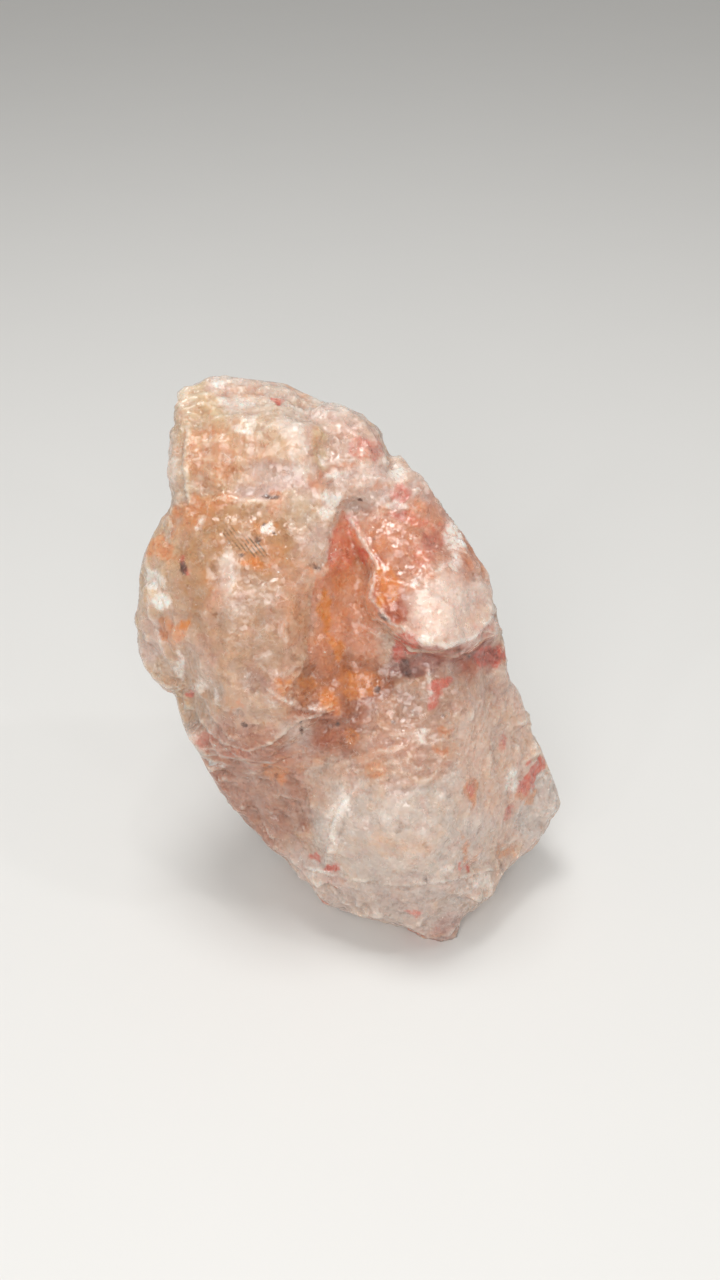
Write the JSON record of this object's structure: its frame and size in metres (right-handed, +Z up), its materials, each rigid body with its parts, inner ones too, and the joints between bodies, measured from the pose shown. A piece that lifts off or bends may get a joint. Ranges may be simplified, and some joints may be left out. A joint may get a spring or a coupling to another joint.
{
  "type": "rough quartz crystal",
  "caption": "Broken lump of milky, iron-stained quartz, sold as a Herkimer diamond crystal, standing on a flat lower end.",
  "frame": {"origin": "centre of the bounding box, at the level that the stone rests on", "axes": "+Z up, +X to the right and -Y towards a viewer who faces the side with the overhanging flake"},
  "size_m": [0.0606, 0.046, 0.0763],
  "materials": {
    "quartz": "milky, slightly see-through quartz with glassy breaks and orange to red iron stains"
  },
  "bodies": {
    "root": {"quartz_crystal": "quartz"}
  },
  "joints": []
}
